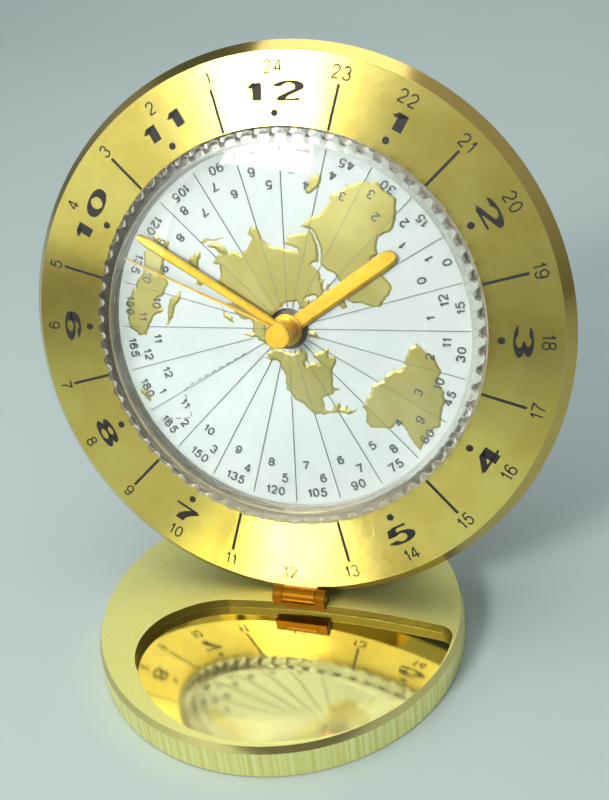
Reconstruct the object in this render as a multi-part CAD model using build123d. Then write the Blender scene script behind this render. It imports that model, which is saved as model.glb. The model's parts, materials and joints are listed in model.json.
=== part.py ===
from build123d import *
import math
import os

# World time clock: a leaning round head on a small round stand
# Lengths are in millimetres and angles in degrees
# X runs to the right of the dial, Y to the back and Z up
# The origin is the middle of the stand, on the surface that it stands on

# Stand disc
disc_r = 30.6
disc_top_z = 5.8
disc_edge_drop = 1.1
disc_edge_in = 0.5
recess_depth = 1.65
pad_r = 27.5
pad_t = 1.0
pad_proud = 0.2
pad_gap = 0.1

# Outline of the polished recess, as shares of the stand's radius
recess_arc_shares = (
    ((-0.294, -0.020), (0.294, 0.0245), (0.902, -0.016)),
    ((0.902, -0.016), (0.946, -0.046), (0.962, -0.111)),
    ((0.962, -0.111), (0.797, -0.578), (0.232, -0.922)),
    ((0.232, -0.922), (-0.278, -0.889), (-0.572, -0.637)),
    ((-0.572, -0.637), (-0.663, -0.376), (-0.536, -0.147)),
    ((-0.536, -0.147), (-0.4216, -0.0654), (-0.294, -0.020)),
)

# Tilt hinge
hinge_x = 3.6
hinge_y = 0.84
hinge_up = 1.48
barrel_r = 1.4
barrel_w = 9.0
ear_w = 1.65
ear_gap = 0.1
pin_r = 0.6
pin_fit = 0.04
neck_front_y = 1.05
neck_t = 1.2
neck_gap = 0.05
flange_w = 16.0
flange_d = 6.0
flange_t = 1.4
fork_screw_r = 0.9
fork_screw_head_r = 1.6
fork_screw_head_t = 0.7
fork_screw_spread = 12.4
fork_screw_l = 2.2

# Head placement on its hinge
head_lean = 14.63
head_x = 1.8
hinge_tuck = 0.24
hinge_ahead = 0.74

# Bezel
bezel_r = 45.0
bevel_w = 1.6
bevel_drop = 1.9
bezel_t = 2.2
opening_gap = 0.3
spigot_wall = 3.0
spigot_l = 2.6
lug_overlap = 0.45
lug_web_t = 1.3

# Crystal with its fluted grip ring
crystal_r = 32.0
crystal_front = 1.6
window_t = 1.0
window_rise = 2.0
crystal_wall = 2.0
crystal_edge_in = 0.9
crystal_edge_drop = 0.5
flange_fit = 0.1
crystal_flange_w = 1.9
crystal_flange_t = 1.0
crystal_flange_gap = 0.1
flute_count = 70
flute_r = 0.9
flute_out = 0.05
flute_l = 1.9

# World disc
map_front = -3.6
map_t = 0.5
map_seat_in = 0.7
map_fit = 0.06
map_hole_r = 3.4
land_t = 0.16
map_turn = 59.0
map_margin = 0.8
map_scale_r = 30.4
polar_spread_share = 0.00625
polar_stretch_share = 0.0000085

# Friction spring behind the world disc
drag_r = 27.0
drag_w = 2.4
drag_t = 0.3
drag_nub_r = 0.9
drag_gap = 0.1

# Hands
hour_turn = -55.0
minute_turn = 59.0
second_turn = 67.0
hour_reach = 21.6
minute_reach = 29.3
second_reach = 29.6
hour_hand_z = -2.95
minute_hand_z = -2.05
second_hand_z = -1.25
hour_hand_w = 2.7
minute_hand_w = 1.7
second_hand_w = 0.5
hand_t = 0.3
needle_t = 0.18
hand_flat_share = 0.62
hour_boss_r = 2.6
minute_boss_r = 2.15
cap_r = 2.1
cap_front = 2.2
cap_back = -1.3
cap_edge = 0.2
cap_ring_t = 0.25
cap_ring_in = 0.15
boss_t = 0.55

# Arbors and pipes
running = 0.06
arbor_r = 0.45
cannon_pipe_r = 1.5
hour_pipe_r = 2.1
train_arbor_r = 0.3
work_arbor_r = 0.6
pivot_l = 0.6

# Movement plate and cover
plate_t = 1.0
cover_wall = 1.0
cover_gap = 0.5
post_r = 2.0
post_ring_r = 32.0
post_angles = (90.0, 200.0, 340.0)
plate_screw_angles = (30.0, 150.0, 270.0)
small_screw_r = 0.8
small_head_r = 1.4
small_head_t = 0.6
small_screw_l = 3.0
screw_tip_gap = 0.05

# Wheel train
cannon_teeth = 12
work_wheel_teeth = 36
work_pinion_teeth = 10
hour_teeth = 40
centre_teeth = 64
third_pinion_teeth = 8
third_teeth = 60
second_pinion_teeth = 8
second_teeth = 32
step_pinion_teeth = 8
step_teeth = 45
rotor_teeth = 6
motion_module = 0.25
centre_module = 0.16
second_module = 0.30
step_module = 0.18
tooth_up_share = 0.75
tooth_down_share = 1.15
tooth_tip_share = 0.10
tooth_root_share = 0.25
work_angle = 270.0
third_angle = 150.0
step_angle = 30.0
rotor_angle = 0.0
hour_wheel_z = (-6.95, -6.35)
work_pinion_z = (-7.15, -6.25)
cannon_pinion_z = (-8.25, -7.35)
work_wheel_z = (-8.1, -7.5)
centre_wheel_z = (-9.1, -8.7)
third_pinion_z = (-9.3, -8.5)
cannon_tail_z = -9.4
second_pinion_z = (-10.6, -9.7)
third_wheel_z = (-10.4, -9.9)
second_wheel_z = (-11.4, -11.0)
step_pinion_z = (-11.6, -10.8)
step_wheel_z = (-12.3, -11.9)
rotor_pinion_z = (-12.5, -11.7)
magnet_z = (-11.2, -9.0)
magnet_r = 2.0
cannon_tail_r = 0.95

# Motor and circuit
stator_z = (-10.4, -9.8)
stator_hole_r = 2.4
stator_ring_r = 3.0
stator_arm_w = 2.2
stator_reach_x = 20.0
stator_top_y = 12.2
stator_bottom_y = -7.0
core_t = 0.6
core_w = 2.0
coil_r = 1.9
bobbin_tube_r = 1.35
coil_l = 13.0
bobbin_cheek_t = 0.7
bobbin_cheek_r = 2.15
coil_gap = 0.1
board_x = (-21.5, -11.4)
board_y = (-9.5, 12.5)
board_z = (-9.6, -8.8)
chip_r = 2.2
chip_top_r = 1.6
chip_t = 0.9
crystal_can_r = 1.0
crystal_can_l = 6.0
board_post_r = 0.9

# Case and battery
case_wall = 1.5
case_gap = 0.1
case_back_z = -18.7
case_round = 2.5
battery_r = 5.25
battery_body_l = 43.7
battery_nub_r = 1.9
battery_nub_l = 0.8
battery_y = -21.2
battery_seat = 0.3
contact_t = 0.3
contact_w = 8.0
contact_gap = 0.15
rib_t = 1.2
door_h = 12.4
door_gap = 0.15
door_stub_r = 0.4
door_stub_l = 1.0
door_grip_w = 8.0
door_grip_d = 0.7
knob_r = 4.4
knob_t = 2.4
knob_gap = 0.3
knob_notches = 18
knob_notch_r = 0.35

# One overrun serves every cut
over = 0.5

hinge_z = disc_top_z + hinge_up
face_r = bezel_r - bevel_w
opening_r = crystal_r + opening_gap
crystal_in_r = crystal_r - crystal_wall
spigot_in_r = crystal_r + crystal_flange_w
plate_screw_ring_r = spigot_in_r + spigot_wall / 2
spigot_out_r = spigot_in_r + spigot_wall
case_r = spigot_out_r + case_gap + case_wall
plate_front = -(bezel_t + spigot_l)
plate_back = plate_front - plate_t
case_inner_back = case_back_z + case_wall
map_back = map_front - map_t
work_distance = motion_module * (cannon_teeth + work_wheel_teeth) / 2
hour_module = 2 * work_distance / (work_pinion_teeth + hour_teeth)
third_distance = centre_module * (centre_teeth + third_pinion_teeth) / 2
third_module = 2 * third_distance / (third_teeth + second_pinion_teeth)
step_distance = second_module * (second_teeth + step_pinion_teeth) / 2
rotor_distance = step_module * (step_teeth + rotor_teeth) / 2
core_x = stator_reach_x - (core_w + stator_arm_w) / 2
core_y = (stator_top_y + stator_bottom_y) / 2
core_z = stator_z[0] - core_t / 2
work_wheel_r = motion_module * (work_wheel_teeth / 2 + tooth_up_share)
cover_left = board_x[0] - cover_gap - cover_wall
cover_right = max(stator_reach_x, core_x + bobbin_cheek_r) + cover_gap + cover_wall
cover_bottom = -work_distance - work_wheel_r - cover_gap - cover_wall
cover_top = max(stator_top_y, board_y[1]) + cover_gap + cover_wall
cover_inside = min(rotor_pinion_z[0], core_z - bobbin_cheek_r) - cover_gap
cover_back = cover_inside - cover_wall

lean_cos = math.cos(math.radians(head_lean))
lean_sin = math.sin(math.radians(head_lean))
hinge_below = bezel_r - hinge_tuck
head_y = hinge_y + hinge_below * lean_sin + hinge_ahead * lean_cos
head_z = hinge_z + hinge_below * lean_cos - hinge_ahead * lean_sin
head_plane = Plane(
    origin=(head_x, head_y, head_z),
    x_dir=(1, 0, 0),
    z_dir=(0, -lean_cos, lean_sin),
)


def polar(distance, angle):
    """Point at a distance and angle from the middle."""
    turn = math.radians(angle)
    return (distance * math.cos(turn), distance * math.sin(turn))


def turned(profile):
    """Solid of revolution about Z from (radius, height) points."""
    outline = Polyline(*[(r, 0, z) for r, z in profile], close=True)
    return revolve(make_face(outline), Axis.Z)


def rod(radius, z_low, z_high, at=(0, 0)):
    """Round bar along Z between two heights."""
    bar = Cylinder(radius, z_high - z_low, align=(Align.CENTER, Align.CENTER, Align.MIN))
    return Pos(at[0], at[1], z_low) * bar


def block(x, y, z):
    """Box from three (low, high) pairs."""
    low_corner = (Align.MIN, Align.MIN, Align.MIN)
    solid = Box(x[1] - x[0], y[1] - y[0], z[1] - z[0], align=low_corner)
    return Pos(x[0], y[0], z[0]) * solid


def tube(outer, inner, z_low, z_high, at=(0, 0)):
    """Round tube along Z between two heights."""
    return rod(outer, z_low, z_high, at) - rod(inner, z_low - over, z_high + over, at)


def gear(teeth, module, z_range, tooth_at, at=(0, 0)):
    """Toothed wheel with one tooth pointing along tooth_at."""
    tip_r = module * (teeth / 2 + tooth_up_share)
    root_r = module * (teeth / 2 - tooth_down_share)
    pitch = 360 / teeth
    points = []
    for index in range(teeth):
        middle = tooth_at + index * pitch
        points.append(polar(root_r, middle - tooth_root_share * pitch))
        points.append(polar(tip_r, middle - tooth_tip_share * pitch))
        points.append(polar(tip_r, middle + tooth_tip_share * pitch))
        points.append(polar(root_r, middle + tooth_root_share * pitch))
    face = make_face(Polyline(*points, close=True))
    solid = extrude(face, amount=z_range[1] - z_range[0])
    return Pos(at[0], at[1], z_range[0]) * solid


def gap_at(teeth, angle):
    """Tooth direction that leaves a gap facing the angle."""
    return angle + 180 / teeth


def in_head(part):
    """Place a part from the dial's own frame on the leaning head."""
    return head_plane.location * part


def recess_face():
    """Flat face with the recess outline."""
    arcs = []
    for start, middle, end in recess_arc_shares:
        points = [(disc_r * x, disc_r * y) for x, y in (start, middle, end)]
        arcs.append(ThreePointArc(*points))
    return make_face(arcs)


def stand_disc():
    top_r = disc_r - disc_edge_in
    profile = (
        (0, pad_proud),
        (disc_r, pad_proud),
        (disc_r, disc_top_z - disc_edge_drop),
        (top_r, disc_top_z),
        (0, disc_top_z),
    )
    body = turned(profile)
    floor_z = disc_top_z - recess_depth
    body -= Pos(0, 0, floor_z) * extrude(recess_face(), amount=recess_depth + over)
    body -= rod(pad_r + pad_gap, pad_proud - over, pad_t)
    half_w = barrel_w / 2 + neck_gap
    neck_y = (neck_front_y - neck_gap, neck_front_y + neck_t + neck_gap)
    neck_x = (hinge_x - half_w, hinge_x + half_w)
    body -= block(neck_x, neck_y, (pad_t, disc_top_z + over))
    body -= fork_flange(neck_gap, (pad_t - over, pad_t + flange_t + fork_screw_head_t))
    for x in fork_screw_places():
        body -= rod(fork_screw_r, pad_t, pad_t + fork_screw_head_t + fork_screw_l, (x, flange_y()))
    return body


def flange_y():
    return neck_front_y + neck_t / 2


def fork_flange(grow, z):
    half_w = flange_w / 2 + grow
    half_d = flange_d / 2 + grow
    return block((hinge_x - half_w, hinge_x + half_w), (flange_y() - half_d, flange_y() + half_d), z)


def fork_screw_places():
    return (hinge_x - fork_screw_spread / 2, hinge_x + fork_screw_spread / 2)


def stand_pad():
    return rod(pad_r, 0, pad_t)


def barrel(radius, x_low, x_high):
    """Round bar along X on the hinge axis."""
    bar = Cylinder(radius, x_high - x_low, align=(Align.CENTER, Align.CENTER, Align.MIN))
    return Pos(x_low, hinge_y, hinge_z) * Rot(0, 90, 0) * bar


def hinge_fork():
    half_w = barrel_w / 2
    left = hinge_x - half_w
    right = hinge_x + half_w
    flange_z = (pad_t + fork_screw_head_t, pad_t + fork_screw_head_t + flange_t)
    neck_y = (neck_front_y, neck_front_y + neck_t)
    body = fork_flange(0, flange_z)
    body += block((left, right), neck_y, (flange_z[0], hinge_z))
    body += block((left, right), (hinge_y - barrel_r, neck_y[1]), (disc_top_z + neck_gap, hinge_z))
    body += barrel(barrel_r, left, right)
    knuckle_space = (left + ear_w, right - ear_w)
    clear_r = barrel_r + ear_gap
    body -= barrel(clear_r, *knuckle_space)
    body -= block(knuckle_space, (hinge_y - clear_r, hinge_y + clear_r + over), (hinge_z, hinge_z + clear_r))
    body -= barrel(pin_r, left - over, right + over)
    for x in fork_screw_places():
        body -= rod(fork_screw_r, flange_z[0] - over, flange_z[1] + over, (x, flange_y()))
    return body


def fork_screws():
    screws = []
    for x in fork_screw_places():
        place = (x, flange_y())
        head = rod(fork_screw_head_r, pad_t, pad_t + fork_screw_head_t, place)
        screws.append(head + rod(fork_screw_r, pad_t, pad_t + fork_screw_head_t + fork_screw_l, place))
    return Compound(children=screws)


def hinge_pin():
    half_w = barrel_w / 2
    return barrel(pin_r, hinge_x - half_w, hinge_x + half_w)


def bezel():
    profile = (
        (opening_r, 0),
        (face_r, 0),
        (bezel_r, -bevel_drop),
        (bezel_r, -bezel_t),
        (spigot_out_r, -bezel_t),
        (spigot_out_r, plate_front),
        (spigot_in_r, plate_front),
        (spigot_in_r, -bezel_t),
        (opening_r, -bezel_t),
    )
    body = turned(profile)
    for angle in plate_screw_angles:
        hole_low = plate_front - over
        hole_high = plate_front + small_screw_l - plate_t
        body -= rod(small_screw_r, hole_low, hole_high, polar(plate_screw_ring_r, angle))
    body = in_head(body)
    half_w = barrel_w / 2 - ear_w - ear_gap
    lug = barrel(barrel_r, hinge_x - half_w, hinge_x + half_w)
    web_x = (hinge_x - head_x - half_w, hinge_x - head_x + half_w)
    web_z = (hinge_ahead - lug_web_t, hinge_ahead)
    web = block(web_x, (-hinge_below, -face_r + lug_overlap), web_z)
    above_face = (-face_r, -face_r + 2 * lug_overlap)
    web -= block((web_x[0] - over, web_x[1] + over), above_face, (0, hinge_ahead + over))
    body += lug
    body += in_head(web)
    body -= barrel(pin_r + pin_fit, hinge_x - half_w - over, hinge_x + half_w + over)
    return body


def window_arc(edge_z):
    """Arc from the axis to the edge of the domed window."""
    ball_r = (crystal_in_r**2 + window_rise**2) / (2 * window_rise)
    middle_r = crystal_in_r / 2
    ball_z = edge_z + window_rise - ball_r
    middle_z = ball_z + math.sqrt(ball_r**2 - middle_r**2)
    return ThreePointArc((0, 0, edge_z + window_rise), (middle_r, 0, middle_z), (crystal_in_r, 0, edge_z))


def crystal():
    flange_r = spigot_in_r - flange_fit
    flange_front = -bezel_t - crystal_flange_gap
    flange_back = flange_front - crystal_flange_t
    seat_r = crystal_in_r + map_seat_in
    inner_front = crystal_front - window_t
    wall = (
        (crystal_in_r, inner_front),
        (crystal_in_r, map_front),
        (seat_r, map_front),
        (seat_r, map_back),
        (crystal_r, map_back),
        (crystal_r, flange_back),
        (flange_r, flange_back),
        (flange_r, flange_front),
        (crystal_r, flange_front),
        (crystal_r, crystal_front - crystal_edge_drop),
        (crystal_r - crystal_edge_in, crystal_front),
        (crystal_in_r, crystal_front),
    )
    axis_line = Line((0, 0, inner_front + window_rise), (0, 0, crystal_front + window_rise))
    wall_line = Polyline(*[(r, 0, z) for r, z in wall])
    outline = [axis_line, window_arc(inner_front), *wall_line.edges(), window_arc(crystal_front)]
    body = revolve(make_face(outline), Axis.Z)
    flute = rod(flute_r, crystal_front - flute_l, crystal_front + over, (crystal_r + flute_out, 0))
    body -= PolarLocations(0, flute_count) * flute
    return in_head(body)


def map_disc():
    rim_r = crystal_in_r + map_seat_in - map_fit
    return in_head(tube(rim_r, map_hole_r, map_back, map_front))


# Coast outlines in degrees east and degrees north
land_degrees = {
    "africa": (
        (-17, 15), (-16, 21), (-10, 30), (-6, 35), (10, 37), (11, 33), (20, 31), (25, 32), (32, 31),
        (37, 21), (43, 12), (51, 11), (47, 4), (41, -2), (39, -8), (40, -15), (35, -20), (35, -24),
        (32, -29), (26, -34), (19, -34), (15, -27), (12, -17), (13, -9), (9, -1), (9, 4), (4, 6),
        (-4, 5), (-8, 4), (-13, 8),
    ),
    "eurasia": (
        (-9, 37), (-9, 43), (-2, 44), (-4, 48), (2, 51), (8, 54), (10, 57), (11, 54), (19, 54),
        (21, 57), (29, 60), (22, 60), (22, 63), (25, 65), (22, 65), (17, 61), (18, 59), (16, 56),
        (12, 56), (11, 59), (6, 58), (5, 61), (14, 68), (28, 71), (41, 67), (55, 69), (68, 69),
        (72, 73), (90, 76), (105, 78), (115, 74), (140, 73), (160, 70), (178, 69), (190, 66),
        (178, 63), (163, 60), (162, 56), (157, 51), (155, 58), (142, 59), (136, 55), (141, 53),
        (140, 48), (133, 43), (128, 40), (129, 36), (126, 35), (125, 39), (118, 39), (122, 37),
        (120, 34), (122, 30), (118, 24), (110, 21), (108, 17), (109, 12), (105, 9), (101, 13),
        (103, 5), (104, 1), (101, 3), (98, 9), (98, 15), (94, 17), (91, 22), (87, 21), (80, 15),
        (80, 11), (77, 8), (74, 14), (72, 20), (67, 24), (57, 27), (48, 30), (50, 26), (56, 25),
        (59, 22), (55, 17), (45, 13), (43, 14), (39, 21), (35, 28), (34, 31), (36, 36), (27, 37),
        (26, 40), (23, 40), (22, 37), (19, 42), (13, 45), (12, 44), (18, 40), (16, 38), (12, 42),
        (8, 44), (3, 43), (0, 40), (-2, 37),
    ),
    "north_america": (
        (-168, 66), (-156, 71), (-128, 70), (-115, 68), (-95, 71), (-82, 68), (-86, 64), (-94, 60),
        (-93, 57), (-82, 55), (-80, 51), (-77, 57), (-78, 62), (-70, 61), (-65, 59), (-56, 52),
        (-66, 50), (-61, 46), (-66, 44), (-70, 42), (-76, 36), (-81, 31), (-80, 26), (-84, 30),
        (-95, 29), (-97, 21), (-94, 18), (-90, 21), (-87, 21), (-88, 16), (-83, 15), (-83, 10),
        (-78, 9), (-83, 8), (-92, 14), (-105, 20), (-109, 26), (-114, 31), (-110, 24), (-117, 33),
        (-124, 40), (-124, 47), (-135, 59), (-145, 60), (-163, 55), (-158, 59), (-165, 62),
        (-160, 65),
    ),
    "south_america": (
        (-77, 8), (-72, 12), (-62, 10), (-51, 4), (-50, 0), (-40, -3), (-35, -6), (-39, -14),
        (-40, -21), (-48, -27), (-54, -34), (-62, -38), (-73, -37), (-70, -18), (-76, -14),
        (-81, -6), (-80, -1), (-77, 4),
    ),
    "australia": (
        (114, -22), (122, -18), (131, -12), (136, -12), (136, -15), (140, -17), (142, -11),
        (146, -19), (153, -25), (153, -31), (150, -37), (140, -38), (131, -31), (124, -33),
        (115, -34),
    ),
    "greenland": ((-73, 78), (-60, 82), (-32, 83), (-20, 74), (-25, 70), (-44, 60), (-53, 70)),
    "madagascar": ((49, -12), (50, -16), (47, -25), (44, -24), (44, -17)),
    "borneo": ((109, 1), (117, 7), (119, 5), (116, -4), (111, -3)),
    "new_guinea": ((131, -1), (145, -4), (150, -10), (138, -8)),
    "sumatra": ((95, 6), (104, -2), (106, -6), (98, 1)),
    "japan": ((130, 32), (137, 37), (140, 43), (145, 44), (141, 36)),
    "philippines": ((120, 18), (122, 17), (126, 8), (122, 8)),
    "new_zealand": ((173, -35), (178, -38), (175, -41), (172, -40)),
}


def map_point(east, north):
    """Place on the disc of a longitude and latitude, with the pole in the middle."""
    from_pole = 90 - north
    share = polar_spread_share * from_pole + polar_stretch_share * from_pole**2
    nearest = map_hole_r + map_margin / 2
    distance = max(nearest, min(share * map_scale_r, map_scale_r - map_margin))
    return polar(distance, 90 - map_turn + east)


def map_land():
    lands = []
    for outline in land_degrees.values():
        points = [map_point(east, north) for east, north in outline]
        face = make_face(Polyline(*points, close=True))
        lands.append(Pos(0, 0, map_front) * extrude(face, amount=land_t))
    return in_head(Compound(children=lands))


def hand_blade(width_shares, width, reach, start, height, turn, z):
    """Blade with bevelled sides along the turned Y axis, from shares of its length and width."""
    sections = []
    for along, width_share in width_shares:
        half = width * width_share / 2
        y = start + (reach - start) * along
        flat = half * hand_flat_share
        points = ((-half, y, z), (half, y, z), (flat, y, z + height), (-flat, y, z + height))
        sections.append(make_face(Polyline(*points, close=True)))
    return Rot(0, 0, turn) * loft(sections, ruled=True)


hour_width_shares = ((0.0, 0.93), (0.55, 0.96), (0.9, 1.0), (0.965, 0.85), (0.99, 0.6), (1.0, 0.35))
minute_width_shares = ((0.0, 0.8), (0.5, 0.88), (0.93, 1.0), (0.98, 0.8), (1.0, 0.35))
second_width_shares = ((0.0, 1.0), (1.0, 0.45))


def hour_hand():
    body = tube(hour_boss_r, hour_pipe_r, hour_hand_z, hour_hand_z + boss_t)
    start = (hour_boss_r + hour_pipe_r) / 2
    body += hand_blade(hour_width_shares, hour_hand_w, hour_reach, start, hand_t, hour_turn, hour_hand_z)
    return in_head(body)


def minute_hand():
    body = tube(minute_boss_r, cannon_pipe_r, minute_hand_z, minute_hand_z + boss_t)
    start = (minute_boss_r + cannon_pipe_r) / 2
    body += hand_blade(
        minute_width_shares, minute_hand_w, minute_reach, start, hand_t, minute_turn, minute_hand_z
    )
    return in_head(body)


def second_hand():
    middle_z = (cap_back + cap_front) / 2
    profile = (
        (0, cap_back),
        (cap_r, cap_back),
        (cap_r, middle_z - cap_ring_t),
        (cap_r - cap_ring_in, middle_z - cap_ring_t),
        (cap_r - cap_ring_in, middle_z),
        (cap_r, middle_z),
        (cap_r, cap_front - cap_edge),
        (cap_r - cap_edge, cap_front),
        (0, cap_front),
    )
    body = turned(profile)
    body -= rod(arbor_r, cap_back - over, cap_front - boss_t / 2)
    body += hand_blade(
        second_width_shares, second_hand_w, second_reach, cap_r / 2, needle_t, second_turn, second_hand_z
    )
    return in_head(body)


def hour_wheel():
    body = gear(hour_teeth, hour_module, hour_wheel_z, gap_at(hour_teeth, work_angle))
    body += rod(hour_pipe_r, hour_wheel_z[0], hour_hand_z + boss_t)
    body -= rod(cannon_pipe_r + running, hour_wheel_z[0] - over, hour_hand_z + boss_t + over)
    return in_head(body)


def cannon_pinion():
    body = gear(cannon_teeth, motion_module, cannon_pinion_z, work_angle)
    body += rod(cannon_pipe_r, cannon_pinion_z[1], minute_hand_z + boss_t)
    body += rod(cannon_tail_r, cannon_tail_z, cannon_pinion_z[0])
    body -= rod(arbor_r + running, cannon_tail_z - over, minute_hand_z + boss_t + over)
    return in_head(body)


def work_wheel():
    place = polar(work_distance, work_angle)
    facing = work_angle + 180
    body = gear(work_wheel_teeth, motion_module, work_wheel_z, gap_at(work_wheel_teeth, facing), place)
    body += gear(work_pinion_teeth, hour_module, work_pinion_z, facing, place)
    body += rod(work_arbor_r, case_back_z - knob_gap - knob_t / 2, plate_back + pivot_l, place)
    return in_head(body)


def centre_wheel():
    body = gear(centre_teeth, centre_module, centre_wheel_z, gap_at(centre_teeth, third_angle))
    body -= rod(cannon_tail_r + running, centre_wheel_z[0] - over, centre_wheel_z[1] + over)
    return in_head(body)


def train_arbor(place):
    return rod(train_arbor_r, cover_inside - pivot_l, plate_back + pivot_l, place)


def third_wheel():
    place = polar(third_distance, third_angle)
    facing = third_angle + 180
    body = gear(third_teeth, third_module, third_wheel_z, gap_at(third_teeth, facing), place)
    body += gear(third_pinion_teeth, centre_module, third_pinion_z, facing, place)
    body += train_arbor(place)
    return in_head(body)


def second_wheel():
    body = gear(second_teeth, second_module, second_wheel_z, gap_at(second_teeth, step_angle))
    body += gear(second_pinion_teeth, third_module, second_pinion_z, third_angle)
    body += rod(arbor_r, cover_inside - pivot_l, cap_front - boss_t / 2)
    return in_head(body)


def step_wheel():
    place = polar(step_distance, step_angle)
    body = gear(step_teeth, step_module, step_wheel_z, gap_at(step_teeth, rotor_angle), place)
    body += gear(step_pinion_teeth, second_module, step_pinion_z, step_angle + 180, place)
    body += train_arbor(place)
    return in_head(body)


def rotor_place():
    step = polar(step_distance, step_angle)
    away = polar(rotor_distance, rotor_angle)
    return (step[0] + away[0], step[1] + away[1])


def rotor():
    place = rotor_place()
    body = gear(rotor_teeth, step_module, rotor_pinion_z, rotor_angle + 180, place)
    body += rod(magnet_r, *magnet_z, place)
    body += train_arbor(place)
    return in_head(body)


def stator():
    place = rotor_place()
    arm_x = (place[0] - stator_arm_w, stator_reach_x)
    body = tube(stator_ring_r, stator_hole_r, *stator_z, place)
    spine_x = (place[0] - stator_arm_w / 2, place[0] + stator_arm_w / 2)
    body += block(spine_x, (place[1] + stator_ring_r - over, stator_top_y), stator_z)
    body += block(spine_x, (stator_bottom_y, place[1] - stator_ring_r + over), stator_z)
    body += block(arm_x, (stator_top_y - stator_arm_w, stator_top_y), stator_z)
    body += block(arm_x, (stator_bottom_y, stator_bottom_y + stator_arm_w), stator_z)
    body -= rod(stator_hole_r, stator_z[0] - over, stator_z[1] + over, place)
    return in_head(body)


def coil_core():
    x = (core_x - core_w / 2, core_x + core_w / 2)
    return in_head(block(x, (stator_bottom_y, stator_top_y), (stator_z[0] - core_t, stator_z[0])))


def along_y(radius, y_low, y_high, x, z):
    bar = Cylinder(radius, y_high - y_low, align=(Align.CENTER, Align.CENTER, Align.MIN))
    return Pos(x, y_low, z) * Rot(-90, 0, 0) * bar


def core_hole():
    half = core_w / 2 + coil_gap
    tall = core_t / 2 + coil_gap
    y = (core_y - coil_l, core_y + coil_l)
    return block((core_x - half, core_x + half), y, (core_z - tall, core_z + tall))


def coil_bobbin():
    low = core_y - coil_l / 2
    high = core_y + coil_l / 2
    body = along_y(bobbin_tube_r, low, high, core_x, core_z)
    body += along_y(bobbin_cheek_r, low, low + bobbin_cheek_t, core_x, core_z)
    body += along_y(bobbin_cheek_r, high - bobbin_cheek_t, high, core_x, core_z)
    return in_head(body - core_hole())


def coil_winding():
    low = core_y - coil_l / 2 + bobbin_cheek_t
    high = core_y + coil_l / 2 - bobbin_cheek_t
    body = along_y(coil_r, low, high, core_x, core_z)
    body -= along_y(bobbin_tube_r, low - over, high + over, core_x, core_z)
    return in_head(body)


def circuit_board():
    return in_head(block(board_x, board_y, board_z))


def board_chip():
    place = ((board_x[0] + board_x[1]) / 2, board_y[0] + 2 * chip_r)
    profile = ((0, 0), (chip_r, 0), (chip_top_r, -chip_t), (0, -chip_t))
    return in_head(Pos(place[0], place[1], board_z[0]) * turned(profile))


def timing_can():
    x = (board_x[0] + board_x[1]) / 2
    y = board_y[1] - crystal_can_l - 2 * crystal_can_r
    return in_head(along_y(crystal_can_r, y, y + crystal_can_l, x, board_z[0] - crystal_can_r))


def board_post_places():
    edge = 2 * board_post_r
    return ((board_x[0] + edge, board_y[0] + edge), (board_x[0] + edge, board_y[1] - edge))


def stator_post_places():
    x = stator_reach_x - stator_arm_w / 2
    inset = stator_arm_w / 2
    return ((x, stator_top_y - inset), (x, stator_bottom_y + inset))


def movement_plate():
    body = rod(spigot_out_r, plate_back, plate_front)
    body -= rod(hour_pipe_r + running, plate_back - over, plate_front + over)
    for angle in plate_screw_angles:
        body -= rod(small_screw_r, plate_back - over, plate_front + over, polar(plate_screw_ring_r, angle))
    for angle in post_angles:
        place = polar(post_ring_r, angle)
        body += rod(post_r, case_inner_back, plate_back, place)
        body -= rod(small_screw_r, case_inner_back - over, case_inner_back + small_screw_l, place)
    for place in board_post_places():
        body += rod(board_post_r, board_z[1], plate_back, place)
    for place in stator_post_places():
        body += rod(board_post_r, stator_z[1], plate_back, place)
    for place, radius in pivot_places():
        body -= rod(radius + running, plate_back - over, plate_back + pivot_l + running, place)
    return in_head(body)


def pivot_places():
    return (
        (polar(work_distance, work_angle), work_arbor_r),
        (polar(third_distance, third_angle), train_arbor_r),
        (polar(step_distance, step_angle), train_arbor_r),
        (rotor_place(), train_arbor_r),
    )


def movement_cover():
    outer = block((cover_left, cover_right), (cover_bottom, cover_top), (cover_back, plate_back))
    inner_x = (cover_left + cover_wall, cover_right - cover_wall)
    inner_y = (cover_bottom + cover_wall, cover_top - cover_wall)
    body = outer - block(inner_x, inner_y, (cover_inside, plate_back + over))
    work_place = polar(work_distance, work_angle)
    body -= rod(work_arbor_r + running, cover_back - over, cover_inside + over, work_place)
    pivot_z = cover_inside - pivot_l - running
    body -= rod(arbor_r + running, pivot_z, cover_inside + over)
    for place, radius in pivot_places()[1:]:
        body -= rod(radius + running, pivot_z, cover_inside + over, place)
    return in_head(body)


def screw_from_back(place, seat_z):
    """Screw whose head sits behind seat_z and whose shank runs forward."""
    head = rod(small_head_r, seat_z - small_head_t, seat_z, place)
    return head + rod(small_screw_r, seat_z - small_head_t, seat_z + small_screw_l - screw_tip_gap, place)


def plate_screws():
    screws = [screw_from_back(polar(plate_screw_ring_r, angle), plate_back) for angle in plate_screw_angles]
    return in_head(Compound(children=screws))


def case_screws():
    screws = []
    for angle in post_angles:
        screws.append(screw_from_back(polar(post_ring_r, angle), case_inner_back - case_wall / 2))
    return in_head(Compound(children=screws))


def drag_spring():
    body = tube(drag_r + drag_w / 2, drag_r - drag_w / 2, plate_front, plate_front + drag_t)
    for angle in plate_screw_angles:
        body += rod(drag_nub_r, plate_front, map_back - drag_gap, polar(drag_r, angle))
    return in_head(body)


def battery_z():
    return plate_back - battery_seat - battery_r


def along_x(radius, x_low, x_high, y, z):
    bar = Cylinder(radius, x_high - x_low, align=(Align.CENTER, Align.CENTER, Align.MIN))
    return Pos(x_low, y, z) * Rot(0, 90, 0) * bar


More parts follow.
